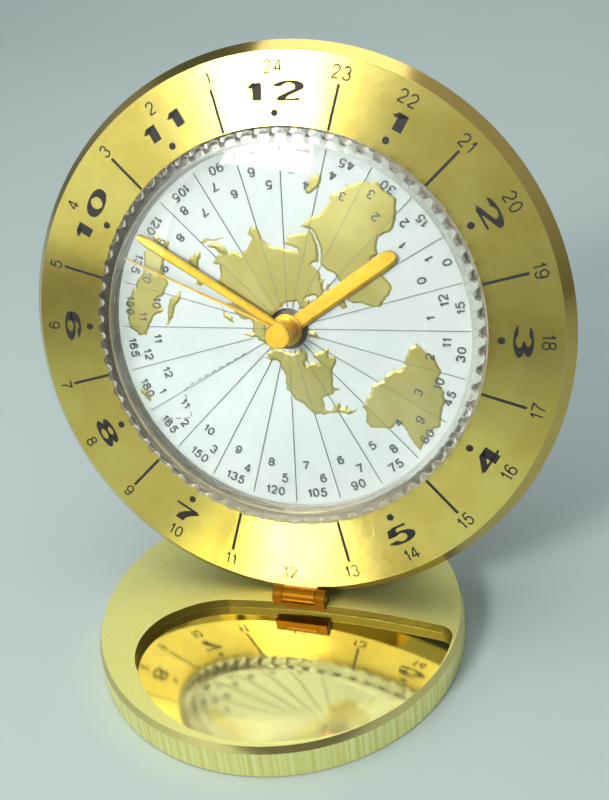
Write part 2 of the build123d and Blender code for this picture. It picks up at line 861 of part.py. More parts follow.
def battery():
    half = (battery_body_l + battery_nub_l) / 2
    body = along_x(battery_r, -half, half - battery_nub_l, battery_y, battery_z())
    body += along_x(battery_nub_r, half - battery_nub_l - over, half, battery_y, battery_z())
    return in_head(body)


def contact_plate(side):
    inner = (battery_body_l + battery_nub_l) / 2 + contact_gap
    x = sorted((side * inner, side * (inner + contact_t)))
    half = contact_w / 2
    y = (battery_y - half, battery_y + half)
    return block(x, y, (battery_z() - half, plate_back))


def contact_plus():
    return in_head(contact_plate(1))


def contact_minus():
    return in_head(contact_plate(-1))


def door_space(grow):
    half_w = battery_body_l / 2 + battery_nub_l / 2 + grow
    half_h = door_h / 2 + grow
    return ((-half_w, half_w), (battery_y - half_h, battery_y + half_h))


def door_pivot():
    """Height and depth of the flap's pivot line."""
    return (battery_y - door_h / 2 + case_wall / 2, case_back_z + case_wall / 2)


def door_stubs(radius, length):
    x = door_space(0)[0]
    pivot_y, pivot_z = door_pivot()
    stubs = along_x(radius, x[0] - length, x[0], pivot_y, pivot_z)
    return stubs + along_x(radius, x[1], x[1] + length, pivot_y, pivot_z)


def case_back():
    inner_r = case_r - case_wall
    outer = rod(case_r, case_back_z, -bezel_t)
    outer = fillet(outer.edges().filter_by(GeomType.CIRCLE).sort_by(Axis.Z)[0], case_round)
    body = outer - rod(inner_r, case_inner_back, -bezel_t + over)
    rib_x = (battery_body_l + battery_nub_l) / 2 + contact_gap + contact_t + contact_gap
    half = contact_w / 2
    for side in (1, -1):
        x = sorted((side * rib_x, side * (rib_x + rib_t)))
        body += block(x, (battery_y - half, battery_y + half), (case_inner_back, battery_z() + half))
    x, y = door_space(door_gap)
    body -= block(x, y, (case_back_z - over, case_inner_back + over))
    body -= door_stubs(door_stub_r + running, door_stub_l + door_gap)
    work_place = polar(work_distance, work_angle)
    body -= rod(work_arbor_r + knob_gap, case_back_z - over, case_inner_back + over, work_place)
    for angle in post_angles:
        place = polar(post_ring_r, angle)
        body -= rod(small_screw_r, case_back_z - over, case_inner_back + over, place)
        body -= rod(small_head_r + door_gap, case_back_z - over, case_inner_back - case_wall / 2, place)
    return in_head(body)


def battery_door():
    x, y = door_space(0)
    body = block(x, y, (case_back_z, case_inner_back))
    pivot_y, pivot_z = door_pivot()
    past_z = (case_back_z - over, case_inner_back + over)
    body -= block((x[0] - over, x[1] + over), (y[0] - over, pivot_y), past_z)
    body += along_x(case_wall / 2, x[0], x[1], pivot_y, pivot_z)
    body += door_stubs(door_stub_r, door_stub_l)
    grip_x = (-door_grip_w / 2, door_grip_w / 2)
    grip_y = (y[1] - 2 * door_grip_d, y[1] - door_grip_d)
    body -= block(grip_x, grip_y, (case_back_z - over, case_back_z + door_grip_d))
    return in_head(body)


def setting_knob():
    place = polar(work_distance, work_angle)
    front = case_back_z - knob_gap
    body = rod(knob_r, front - knob_t, front)
    notch = rod(knob_notch_r, front - knob_t - over, front + over, (knob_r, 0))
    body -= PolarLocations(0, knob_notches) * notch
    body = Pos(place[0], place[1], 0) * body
    body -= rod(work_arbor_r, front - knob_t / 2, front + over, place)
    return in_head(body)


parts = {
    "stand_disc": stand_disc,
    "stand_pad": stand_pad,
    "hinge_fork": hinge_fork,
    "fork_screws": fork_screws,
    "hinge_pin": hinge_pin,
    "bezel": bezel,
    "movement_plate": movement_plate,
    "plate_screws": plate_screws,
    "movement_cover": movement_cover,
    "drag_spring": drag_spring,
    "stator": stator,
    "coil_core": coil_core,
    "coil_bobbin": coil_bobbin,
    "coil_winding": coil_winding,
    "circuit_board": circuit_board,
    "board_chip": board_chip,
    "timing_can": timing_can,
    "battery": battery,
    "contact_plus": contact_plus,
    "contact_minus": contact_minus,
    "case_back": case_back,
    "case_screws": case_screws,
    "battery_door": battery_door,
    "crystal": crystal,
    "map_disc": map_disc,
    "map_land": map_land,
    "hour_wheel": hour_wheel,
    "hour_hand": hour_hand,
    "cannon_pinion": cannon_pinion,
    "minute_hand": minute_hand,
    "work_wheel": work_wheel,
    "setting_knob": setting_knob,
    "centre_wheel": centre_wheel,
    "third_wheel": third_wheel,
    "second_wheel": second_wheel,
    "second_hand": second_hand,
    "step_wheel": step_wheel,
    "rotor": rotor,
}

os.makedirs("parts", exist_ok=True)
for name, make in parts.items():
    export_step(make(), f"parts/{name}.step")
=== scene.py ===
import json
import math

import bmesh
import bpy
from mathutils import Matrix, Vector, kdtree, noise
from mathutils.geometry import delaunay_2d_cdt


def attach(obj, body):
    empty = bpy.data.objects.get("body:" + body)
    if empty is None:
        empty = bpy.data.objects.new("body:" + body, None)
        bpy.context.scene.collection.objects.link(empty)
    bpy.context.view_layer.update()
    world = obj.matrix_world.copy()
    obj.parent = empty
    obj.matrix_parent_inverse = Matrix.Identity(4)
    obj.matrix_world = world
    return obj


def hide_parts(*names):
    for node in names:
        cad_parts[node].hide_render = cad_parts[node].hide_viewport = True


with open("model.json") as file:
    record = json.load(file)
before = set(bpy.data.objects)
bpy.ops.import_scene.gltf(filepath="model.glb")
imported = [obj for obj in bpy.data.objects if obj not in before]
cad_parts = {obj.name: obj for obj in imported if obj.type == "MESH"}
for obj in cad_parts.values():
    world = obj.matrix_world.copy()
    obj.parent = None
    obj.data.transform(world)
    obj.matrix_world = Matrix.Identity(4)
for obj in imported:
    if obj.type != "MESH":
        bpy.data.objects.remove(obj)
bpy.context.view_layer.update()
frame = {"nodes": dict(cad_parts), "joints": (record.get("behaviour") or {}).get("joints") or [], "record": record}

# Lengths are in millimetres, and mm turns them into scene units
mm = 0.001

# Dial print
tick_inner_r = 32.4
tick_outer_r = 39.4
tick_w = 0.45
dot_r = 34.2
dot_size = 1.12
hour_angle = 30
hour_number_r = 37.4
hour_number_w = 5.0
hour_number_h = 3.0
day_angle = 15
day_number_r = 41.05
day_number_w = 1.3
day_number_h = 2.15
fine_pen = 0.12
ink_t = 0.02
print_lift = 0.01

# World disc print, with each row of numbers as distance, turn past its meridian in degrees and height
place_rows = ((28.0, 7.5, 1.55), (25.6, 4.2, 1.55), (23.2, 10.2, 1.45))
place_number_w = 0.85
meridian_w = 0.07
meridian_inner_r = 3.55
meridian_outer_r = 29.4
map_z = -3.6
map_print_z = map_z + 0.005
map_turn = 59.0

# Raised land, whose coasts wander in waves given as waves in a millimetre and reach
land_t = 0.16
coast_length = 0.4
coast_waves = ((0.6, 0.6), (1.9, 0.26))
coast_seed = 5
least_island = 0.25
shore_w = 0.42
shore_drop = 0.13

# Crystal drum
drum_r = 32.0
drum_inner_r = 30.0
drum_front = 1.6
window_t = 1.0
window_rise = 2.0
window_steps = 14
flute_count = 70
flute_r = 0.9
flute_end = -0.3
flute_steps = 14

# Borders that the finishes change at, each from where the change starts to where it ends
bezel_face_z = (-0.08, -0.02)
knuckle_r = (45.05, 45.15)
knuckle_z = (0.05, 0.12)
stand_side_r = (30.45, 30.55)
stand_side_z = (4.62, 4.72)
stand_top_z = (5.74, 5.78)
recess_rim_z = (5.765, 5.785)
recess_rim_r = (29.8, 29.95)
recess_floor_z = (4.155, 4.17)
map_hole_r = (3.5, 3.6)
map_edge_z = (map_z - 0.05, map_z - 0.01)
drum_wall_r = (29.95, 30.1)
battery_middle_x = 1.8
battery_end = (21.4, 21.6)


class Signal:
    """A socket that sums are written with."""

    def __init__(self, graph, socket):
        self.graph = graph
        self.socket = socket

    def other(self, name):
        """Another output of the same node."""
        return Signal(self.graph, self.socket.node.outputs[name])

    def maths(self, operation, *others):
        return self.graph.maths(operation, self, *others)

    def __add__(self, other):
        return self.graph.maths("ADD", self, other)

    def __radd__(self, other):
        return self.graph.maths("ADD", other, self)

    def __sub__(self, other):
        return self.graph.maths("SUBTRACT", self, other)

    def __rsub__(self, other):
        return self.graph.maths("SUBTRACT", other, self)

    def __mul__(self, other):
        return self.graph.maths("MULTIPLY", self, other)

    def __rmul__(self, other):
        return self.graph.maths("MULTIPLY", other, self)

    def __truediv__(self, other):
        return self.graph.maths("DIVIDE", self, other)

    def __neg__(self):
        return self.graph.maths("MULTIPLY", self, -1)

    def abs(self):
        return self.maths("ABSOLUTE")

    def over(self, low, high):
        """Rises smoothly from 0 at low to 1 at high."""
        settings = {"interpolation_type": "SMOOTHSTEP"}
        inputs = {"Value": self, "From Min": low, "From Max": high}
        return self.graph.node("ShaderNodeMapRange", settings, inputs)


class Graph:
    """Makes the nodes of one shader or geometry tree."""

    def __init__(self, tree):
        self.tree = tree

    def node(self, kind, settings=None, inputs=None, output=0):
        """A node with its settings first and then its sockets' values or links."""
        made = self.tree.nodes.new(kind)
        for name, value in (settings or {}).items():
            if name == "stops":
                self.set_stops(made, value)
            else:
                setattr(made, name, value)
        for name, value in (inputs or {}).items():
            if isinstance(value, Signal):
                self.tree.links.new(value.socket, made.inputs[name])
            else:
                made.inputs[name].default_value = value
        return Signal(self, made.outputs[output]) if made.outputs else made

    def set_stops(self, ramp_node, stops):
        ramp = ramp_node.color_ramp
        while len(ramp.elements) < len(stops):
            ramp.elements.new(1)
        for element, (position, colour) in zip(ramp.elements, stops):
            element.position = position
            element.color = (*colour, 1)

    def maths(self, operation, *values):
        return self.node("ShaderNodeMath", {"operation": operation}, dict(enumerate(values)))

    def vector_maths(self, operation, *values):
        return self.node("ShaderNodeVectorMath", {"operation": operation}, dict(enumerate(values)))

    def mix(self, factor, colour_a, colour_b):
        """Colour mix, whose colour sockets have the numbers 6 and 7 in and 2 out."""
        colours = {0: factor, 6: opaque(colour_a), 7: opaque(colour_b)}
        return self.node("ShaderNodeMix", {"data_type": "RGBA"}, colours, 2)

    def ramp(self, factor, stops):
        return self.node("ShaderNodeValToRGB", {"stops": stops}, {"Fac": factor})

    def noise(self, vector, scale, detail=2.0, roughness=0.5, distortion=0.0):
        inputs = {
            "Vector": vector,
            "Scale": scale,
            "Detail": detail,
            "Roughness": roughness,
            "Distortion": distortion,
        }
        return self.node("ShaderNodeTexNoise", {}, inputs)

    def line_noise(self, value, scale, detail):
        """Noise along one number, for grooves and streaks."""
        inputs = {"W": value, "Scale": scale, "Detail": detail}
        return self.node("ShaderNodeTexNoise", {"noise_dimensions": "1D"}, inputs)

    def split(self, vector):
        first = self.node("ShaderNodeSeparateXYZ", {}, {0: vector})
        return first, first.other("Y"), first.other("Z")

    def join(self, x, y, z):
        return self.node("ShaderNodeCombineXYZ", {}, {0: x, 1: y, 2: z})

    def bump(self, height, rise, strength):
        """Normal of a surface that is up to a rise in millimetres uneven."""
        inputs = {"Height": height, "Distance": rise * mm, "Strength": strength}
        return self.node("ShaderNodeBump", {}, inputs)


def opaque(colour):
    """Three parts of a colour with full alpha, or a link as it is."""
    return colour if isinstance(colour, Signal) else (*colour, 1)


# The dial leans, and its own frame has x to the right and y up in its face, and z towards the reader
joints = {joint["name"]: joint for joint in frame["joints"]}
dial_out = -Vector(joints["world_disc_turn"]["axis"])
dial_right = Vector((1, 0, 0))
dial_up = dial_out.cross(dial_right)
dial_turn = Matrix((dial_right, dial_up, dial_out)).transposed()
dial_centre = Vector(joints["world_disc_turn"]["pos_m"])
dial = Matrix.Translation(dial_centre) @ dial_turn.to_4x4() @ Matrix.Scale(mm, 4)


class Finish(Graph):
    """A material with one Principled shader."""

    def __init__(self, name, **plain):
        self.material = bpy.data.materials.new(name)
        self.material.use_nodes = True
        super().__init__(self.material.node_tree)
        self.shader = self.tree.nodes["Principled BSDF"]
        self.set(**plain)

    def set(self, **values):
        """Sets sockets by name, with _ for a space."""
        for name, value in values.items():
            socket = self.shader.inputs[name.replace("_", " ")]
            if isinstance(value, Signal):
                self.tree.links.new(value.socket, socket)
            else:
                socket.default_value = value

    def place(self):
        """Place on the part in millimetres."""
        coordinates = self.node("ShaderNodeTexCoord", output="Object")
        return self.node("ShaderNodeMapping", {}, {"Vector": coordinates, "Scale": (1 / mm,) * 3})

    def dial_place(self):
        """Place in the dial's own frame in millimetres."""
        back = dial_turn.transposed()
        inputs = {
            "Vector": self.node("ShaderNodeTexCoord", output="Object"),
            "Scale": (1 / mm,) * 3,
            "Rotation": back.to_euler(),
            "Location": -(back @ dial_centre) / mm,
        }
        return self.node("ShaderNodeMapping", {"vector_type": "POINT"}, inputs)

    def distance(self, x, y):
        """Distance from the middle."""
        return self.maths("SQRT", x * x + y * y)

    def tilted(self, direction, slope):
        """The surface's normal leant along an object direction by a slope."""
        settings = {"vector_type": "VECTOR", "convert_from": "OBJECT", "convert_to": "WORLD"}
        world = self.node("ShaderNodeVectorTransform", settings, {"Vector": direction})
        scaled = {"Vector": world, "Scale": slope}
        lean = self.node("ShaderNodeVectorMath", {"operation": "SCALE"}, scaled)
        normal = self.node("ShaderNodeNewGeometry", output="Normal")
        return self.vector_maths("NORMALIZE", self.vector_maths("ADD", normal, lean))

    def on_dial(self, vector):
        """A direction of the dial's frame as an object direction."""
        inputs = {"Vector": vector, "Rotation": dial_turn.to_euler()}
        return self.node("ShaderNodeMapping", {"vector_type": "VECTOR"}, inputs)


def scratches(graph, place, amount):
    """Fine random wear as a roughness change."""
    fine = graph.noise(place, 1.7, 4.0)
    broad = graph.noise(place, 0.12, 2.0)
    return (fine - 0.5) * amount + (broad - 0.5) * amount


def spun_gold():
    """Bezel: spun satin face, polished bevel and matte back, with the hinge knuckle darkened as painted shade."""
    finish = Finish("spun_gold", Metallic=1.0)
    place = finish.dial_place()
    x, y, z = finish.split(place)
    distance = finish.distance(x, y)
    knuckle = finish.maths("MAXIMUM", distance.over(*knuckle_r), z.over(*knuckle_z))
    face = z.over(*bezel_face_z) * (1 - knuckle)
    grooves = finish.line_noise(distance, 5.0, 2.0)
    grain = finish.noise(place, 47.0, 1.0)
    slope = ((grooves - 0.5) * 0.12 + (grain - 0.5) * 2.6) * face
    radial = finish.on_dial(finish.join(x / distance, y / distance, 0.0))
    blotch = finish.noise(place, 0.08, 3.0, 0.6)
    stain = finish.noise(place, 0.55, 4.0, 0.65)
    tarnish = (0.50, 0.36, 0.10)
    polished = (0.62, 0.45, 0.13)
    # The hinge knuckle's very dark gold is painted shade.
    knuckle_painted_shade = (0.20, 0.08, 0.004)
    gold = finish.mix(blotch.over(0.35, 0.7), (0.79, 0.62, 0.14), (0.87, 0.73, 0.20))
    gold = finish.mix(stain.over(0.58, 0.8) * 0.35, gold, tarnish)
    smooth = face * 0.06 + knuckle * 0.4 + 0.1 + scratches(finish, place, 0.08)
    finish.set(
        Base_Color=finish.mix(knuckle, finish.mix(face, polished, gold), knuckle_painted_shade),
        Roughness=finish.maths("MAXIMUM", 0.12, smooth),
        Normal=finish.tilted(radial, slope),
    )
    return finish.material


def stand_brass():
    """Stand: swirled satin top, polished chamfer, mirror recess whose wall is darkened as painted shade, and
    streaked side set lighter as painted light.
    """
    finish = Finish("stand_brass", Metallic=1.0)
    place = finish.place()
    x, y, z = finish.split(place)
    distance = finish.distance(x, y)
    angle = finish.maths("ARCTAN2", y, x)
    side = distance.over(*stand_side_r) * (1 - z.over(*stand_side_z))
    top = z.over(*stand_top_z)
    deep = (1 - z.over(*recess_rim_z)) * (1 - distance.over(*recess_rim_r))
    wall = deep * z.over(*recess_floor_z)
    wander = 9.0
    swirl_x = x + wander * (finish.noise(place, 0.035) - 0.5)
    swirl_y = y + wander * (finish.noise(place, 0.03, 1.0) - 0.5)
    swirl_r = finish.distance(swirl_x - 6.0, swirl_y + 14.0)
    swirl = finish.line_noise(swirl_r, 5.0, 4.0)
    streak = finish.line_noise(angle * 31.0, 1.3, 4.0)
    height = swirl * top * 0.5 + streak * side
    pale = finish.mix(swirl.over(0.3, 0.7), (0.72, 0.70, 0.25), (0.82, 0.81, 0.34))
    # The streaked side is set lighter than the top's brass as painted light; the streaks along it are grain.
    edge = finish.mix(streak.over(0.3, 0.7), (0.84, 0.77, 0.25), (1.0, 0.96, 0.46))
    mirror = (0.88, 0.80, 0.34)
    # The recess wall's near-black brass is painted shade inside the recess.
    recess_wall_painted_shade = (0.13, 0.105, 0.025)
    chamfer = (0.75, 0.62, 0.24)
    colour = finish.mix(top, chamfer, pale)
    colour = finish.mix(side, colour, edge)
    colour = finish.mix(deep, colour, mirror)
    colour = finish.mix(wall, colour, recess_wall_painted_shade)
    smooth = 0.07 + scratches(finish, place, 0.05)
    finish.set(
        Base_Color=colour,
        Roughness=finish.maths("MAXIMUM", 0.03, smooth + top * 0.46 + side * 0.31 + wall * 0.5),
        Normal=finish.bump(height, 0.06, 0.8),
    )
    return finish.material


def polished_gold(name, deep, bright, roughness):
    """Plated and polished brass with faint handling marks."""
    finish = Finish(name, Metallic=1.0)
    place = finish.place()
    cloud = finish.noise(place, 0.5, 3.0)
    finish.set(
        Base_Color=finish.mix(cloud.over(0.3, 0.7), deep, bright),
        Roughness=finish.maths("MAXIMUM", 0.04, roughness + scratches(finish, place, 0.08)),
        Normal=finish.bump(finish.noise(place, 6.0, 3.0), 0.01, 0.3),
    )
    return finish.material


def land_gold():
    """Raised land: satin pale gold."""
    finish = Finish("land_gold", Metallic=0.6)
    place = finish.dial_place()
    grain = finish.noise(place, 3.5, 4.0)
    cloud = finish.noise(place, 0.12, 2.0)
    finish.set(
        Base_Color=finish.mix(cloud.over(0.35, 0.65), (0.25, 0.228, 0.062), (0.30, 0.28, 0.09)),
        Roughness=0.37 + scratches(finish, place, 0.1),
        Normal=finish.bump(grain, 0.02, 0.4),
    )
    return finish.material


def disc_white():
    """World disc: pearly white print, with the wall of its middle hole darkened as painted shade."""
    finish = Finish("disc_white", Metallic=0.0, Specular_IOR_Level=0.4)
    place = finish.dial_place()
    grain = finish.noise(place, 9.0, 3.0)
    cloud = finish.noise(place, 0.06, 2.0)
    x, y, z = finish.split(place)
    hole = (1 - z.over(*map_edge_z)) * (1 - finish.distance(x, y).over(*map_hole_r))
    # The wall of the middle hole is painted near-black brown as painted shade inside the hole.
    hole_painted_shade = (0.07, 0.04, 0.012)
    white = finish.mix(cloud.over(0.3, 0.7), (0.34, 0.385, 0.39), (0.37, 0.415, 0.42))
    finish.set(
        Base_Color=finish.mix(hole, white, hole_painted_shade),
        Roughness=0.42 + (grain - 0.5) * 0.1,
        Normal=finish.bump(grain, 0.006, 0.3),
    )
    return finish.material


def ink(name, dark, worn):
    """Screen print with slightly uneven cover."""
    finish = Finish(name, Metallic=0.0, Specular_IOR_Level=0.3)
    place = finish.place()
    patch = finish.noise(place, 1.3, 4.0, 0.6)
    finish.set(
        Base_Color=finish.mix(patch.over(0.5, 0.8), dark, worn),
        Roughness=0.5 + (patch - 0.5) * 0.2,
        Normal=finish.bump(patch, 0.005, 0.4),
    )
    return finish.material


def clear_drum():
    """Crystal: clear moulded plastic, tinted in its wall, that lets the lamps reach the map."""
    finish = Finish("clear_drum", Metallic=0.0, Transmission_Weight=1.0, IOR=1.49)
    place = finish.dial_place()
    x, y, _ = finish.split(place)
    wall = finish.distance(x, y).over(*drum_wall_r)
    ripple = finish.noise(place, 1.6, 2.0)
    finish.set(
        Base_Color=finish.mix(wall, (0.97, 0.98, 0.97), (1.0, 0.99, 0.88)),
        Roughness=0.02 + wall * (0.16 + 0.1 * ripple),
        Normal=finish.bump(ripple * wall, 0.05, 0.5),
    )
    clear = finish.node("ShaderNodeBsdfTransparent", {}, {"Color": (0.93, 0.94, 0.92, 1)})
    lamp_ray = finish.node("ShaderNodeLightPath", output="Is Shadow Ray")
    glass = Signal(finish, finish.shader.outputs[0])
    mixed = finish.node("ShaderNodeMixShader", {}, {0: lamp_ray, 1: glass, 2: clear})
    finish.tree.links.new(mixed.socket, finish.tree.nodes["Material Output"].inputs["Surface"])
    return finish.material


def moulded(name, colour, roughness, grain_mm, rise):
    """Moulded plastic with a fine spark-eroded grain."""
    finish = Finish(name, Metallic=0.0)
    place = finish.place()
    grain = finish.noise(place, 1 / grain_mm, 3.0, 0.6)
    cloud = finish.noise(place, 0.15, 2.0)
    lighter = tuple(min(1.0, 1.25 * part + 0.01) for part in colour)
    finish.set(
        Base_Color=finish.mix(cloud.over(0.3, 0.7) * 0.6, colour, lighter),
        Roughness=roughness + (grain - 0.5) * 0.15,
        Normal=finish.bump(grain, rise, 0.6),
    )
    return finish.material


def bright_steel():
    """Turned and rolled steel."""
    finish = Finish("bright_steel", Metallic=1.0)
    place = finish.place()
    rolled = finish.noise(finish.vector_maths("MULTIPLY", place, (0.3, 4.0, 4.0)), 1.5, 3.0)
    finish.set(
        Base_Color=finish.mix(rolled, (0.52, 0.53, 0.54), (0.68, 0.69, 0.70)),
        Roughness=0.22 + (rolled - 0.5) * 0.15,
        Normal=finish.bump(rolled, 0.01, 0.4),
    )
    return finish.material


def copper_wire():
    """Enamelled wire laid turn beside turn, lighter on each turn's crest as painted highlight and darker between
    turns as painted shade.
    """
    finish = Finish("copper_wire", Metallic=0.8)
    _, y, _ = finish.split(finish.dial_place())
    turns = (y * 40.0).maths("SINE")
    finish.set(
        # Crests are painted lighter as painted highlight and the grooves between turns darker as painted shade.
        Base_Color=finish.mix(turns.over(-1, 1), (0.42, 0.14, 0.05), (0.75, 0.32, 0.14)),
        Roughness=0.3 + turns * 0.05,
        Normal=finish.bump(turns, 0.02, 0.7),
    )
    return finish.material


def felt():
    """Dense felt under the stand."""
    finish = Finish("pad_felt", Metallic=0.0, Sheen_Weight=0.5)
    place = finish.place()
    fibre = finish.noise(place, 4.0, 5.0, 0.7, 1.5)
    finish.set(
        Base_Color=finish.mix(fibre, (0.012, 0.03, 0.02), (0.035, 0.07, 0.05)),
        Roughness=0.85 + (fibre - 0.5) * 0.2,
        Normal=finish.bump(fibre, 0.2, 0.8),
    )
    return finish.material


def battery_jacket():
    """Plain green jacket with bare metal ends."""
    finish = Finish("battery_jacket")
    place = finish.place()
    x, _, _ = finish.split(place)
    metal = (x - battery_middle_x).abs().over(*battery_end)
    grain = finish.noise(place, 3.0, 3.0)
    finish.set(
        Base_Color=finish.mix(metal, (0.05, 0.16, 0.09), (0.62, 0.62, 0.60)),
        Metallic=metal,
        Roughness=0.3 + (grain - 0.5) * 0.1,
    )
    return finish.material


def mesh_piece(name, mesh, material, body):
    """A piece in place in the part's frame that rides on a body."""
    piece = bpy.data.objects.new(name, mesh)
    bpy.context.scene.collection.objects.link(piece)
    mesh.materials.clear()
    mesh.materials.append(material)
    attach(piece, body)
    return piece


def grown(name, tree, values):
    """Mesh that a geometry tree makes from named values."""
    seed = bpy.data.objects.new(name + "_seed", bpy.data.meshes.new(name + "_seed"))
    bpy.context.scene.collection.objects.link(seed)
    modifier = seed.modifiers.new("shape", "NODES")
    modifier.node_group = tree
    for item in tree.interface.items_tree:
        if item.item_type == "SOCKET" and item.in_out == "INPUT" and item.name in values:
            modifier[item.identifier] = values[item.name]
    seed.update_tag()
    bpy.context.view_layer.update()
    evaluated = seed.evaluated_get(bpy.context.evaluated_depsgraph_get())
    mesh = bpy.data.meshes.new_from_object(evaluated)
    seed.modifiers.remove(modifier)
    bpy.data.objects.remove(seed)
    mesh.name = name
    return mesh


class Shape(Graph):
    """A geometry tree with named inputs."""

    def __init__(self, name, **inputs):
        tree = bpy.data.node_groups.new(name, "GeometryNodeTree")
        super().__init__(tree)
        kinds = {int: "NodeSocketInt", float: "NodeSocketFloat", bool: "NodeSocketBool"}
        tree.interface.new_socket("Geometry", in_out="INPUT", socket_type="NodeSocketGeometry")
        for label, value in inputs.items():
            label = label.replace("_", " ")
            kind = "NodeSocketMaterial" if value is None else kinds[type(value)]
            socket = tree.interface.new_socket(label, in_out="INPUT", socket_type=kind)
            if value is not None:
                socket.default_value = value
        tree.interface.new_socket("Geometry", in_out="OUTPUT", socket_type="NodeSocketGeometry")
        self.given = self.node("NodeGroupInput")
        self.end = self.node("NodeGroupOutput")

    def value(self, name):
        return self.given.other(name)

    def finish(self, geometry):
        """Ends the tree in real meshes with the material."""
        real = self.node("GeometryNodeRealizeInstances", {}, {0: geometry})
        inputs = {"Geometry": real, "Material": self.value("Material")}
        dressed = self.node("GeometryNodeSetMaterial", {}, inputs)
        self.tree.links.new(dressed.socket, self.end.inputs[0])
        return self.tree


def marks_tree():
    """Bars or round dots repeated around a ring."""
    shape = Shape(
        "ring_of_marks",
        Marks=12,
        First_turn=0.0,
        Ring_radius=36.0,
        Mark_length=7.0,
        Mark_width=0.45,
        Mark_height=0.02,
        Base=0.0,
        Round=False,
        Left_out=-1,
        Material=None,
    )
    width = shape.value("Mark width")
    height = shape.value("Mark height")
    size = shape.join(width, shape.value("Mark length"), height)
    bar = shape.node("GeometryNodeMeshCube", {}, {"Size": size})
    disc = {"Vertices": 28, "Radius": width / 2, "Depth": height}
    dot = shape.node("GeometryNodeMeshCylinder", {}, disc)
    forms = {"Switch": shape.value("Round"), "False": bar, "True": dot}
    chosen = shape.node("GeometryNodeSwitch", {"input_type": "GEOMETRY"}, forms)
    place = shape.join(0.0, shape.value("Ring radius"), shape.value("Base") + height / 2)
    moved = shape.node("GeometryNodeTransform", {}, {"Geometry": chosen, "Translation": place})
    points = shape.node("GeometryNodePoints", {}, {"Count": shape.value("Marks")})
    index = shape.node("GeometryNodeInputIndex")
    numbering = {"Geometry": points, "Name": "turn_index", "Value": index}
    numbered = shape.node("GeometryNodeStoreNamedAttribute", {"data_type": "INT"}, numbering)
    equal = {"data_type": "INT", "operation": "EQUAL"}
    skipped = shape.node("FunctionNodeCompare", equal, {2: index, 3: shape.value("Left out")})
    kept = shape.node("GeometryNodeDeleteGeometry", {}, {"Geometry": numbered, "Selection": skipped})
    stored = shape.node("GeometryNodeInputNamedAttribute", {"data_type": "INT"}, {"Name": "turn_index"})
    angle = -(shape.value("First turn") + stored * (2 * math.pi) / shape.value("Marks"))
    turn = shape.join(0.0, 0.0, angle)
    placing = {"Points": kept, "Instance": moved, "Rotation": turn}
    return shape.finish(shape.node("GeometryNodeInstanceOnPoints", {}, placing))


def window_points(edge_r, edge_z):
    """Domed window from the axis to its edge, as drum outline points."""
    ball_r = (edge_r**2 + window_rise**2) / (2 * window_rise)
    middle_z = edge_z + window_rise - ball_r
    points = []
    for step in range(window_steps + 1):
        distance = edge_r * step / window_steps
        points.append((distance, middle_z + math.sqrt(ball_r**2 - distance**2), 0))
    return points


def drum_profile():
    """Drum outline as distance from the axis and height, with 1 where the flutes bite."""
    map_back = -4.1
    flange_front = -2.3
    flange_back = -3.3
    seat_r = 31.1
    flange_r = 33.8
    # Rounded front edge, each point as how far in from the wall and down from the front it is
    edge = ((0.9, 0.0, 0), (0.55, 0.12, 1), (0.2, 0.3, 1), (0.0, 0.55, 1))
    flute_middle = 0.4
    flute_fade = 0.1
    outside = window_points(drum_inner_r, drum_front)
    inside = window_points(drum_inner_r, drum_front - window_t)
    return (
        *outside,
        *((drum_r - inward, drum_front - down, bite) for inward, down, bite in edge),
        (drum_r, flute_middle, 1),
        (drum_r, flute_end + flute_fade, 1),
        (drum_r, flute_end, 0),
        (drum_r, flange_front, 0),
        (flange_r, flange_front, 0),
        (flange_r, flange_back, 0),
        (drum_r, flange_back, 0),
        (drum_r, map_back, 0),
        (seat_r, map_back, 0),
        (seat_r, map_z, 0),
        (drum_inner_r, map_z, 0),
        *reversed(inside),
    )


def drum_tree(profile):
    """Turned outline whose front edge is bitten by round flutes."""
    inputs = {"Flutes": 60, "Flute_radius": 1.0, "Drum_radius": 32.0, "Steps": 12}
    shape = Shape("fluted_drum", **inputs, Material=None)
    flutes = shape.value("Flutes")
    columns = flutes * shape.value("Steps")
    rows = len(profile)
    rounding_room = 0.0005
    weld = 0.0005
    grid = shape.node("GeometryNodeMeshGrid", {}, {"Vertices X": columns + 1, "Vertices Y": rows})
    index = shape.node("GeometryNodeInputIndex")
    column = (index / rows + rounding_room).maths("FLOOR")
    row = index - column * rows
    choice = []
    for item in range(3):
        picker = shape.node("GeometryNodeIndexSwitch", {"data_type": "FLOAT"}, {})
        node = picker.socket.node
        while len(node.index_switch_items) < rows:
            node.index_switch_items.new()
        shape.tree.links.new(row.socket, node.inputs["Index"])
        for at, point in enumerate(profile):
            node.inputs[at + 1].default_value = point[item]
        choice.append(picker)
    angle = column * (2 * math.pi) / columns
    in_flute = (column / shape.value("Steps")).maths("FRACT")
    pitch = (2 * math.pi) * shape.value("Drum radius") / flutes
    away = (in_flute - 0.5) * pitch / shape.value("Flute radius")
    bite = (1 - shape.maths("MINIMUM", 1.0, away * away)).maths("SQRT") * shape.value("Flute radius")
    least = shape.value("Drum radius") - bite
    bitten = shape.maths("MINIMUM", choice[0], least)
    distance = choice[0] + choice[2] * (bitten - choice[0])
    x = distance * angle.maths("COSINE")
    y = distance * angle.maths("SINE")
    turned = {"Geometry": grid, "Position": shape.join(x, y, choice[1])}
    placed = shape.node("GeometryNodeSetPosition", {}, turned)
    merged = shape.node("GeometryNodeMergeByDistance", {}, {"Geometry": placed, "Distance": weld})
    return shape.finish(merged)


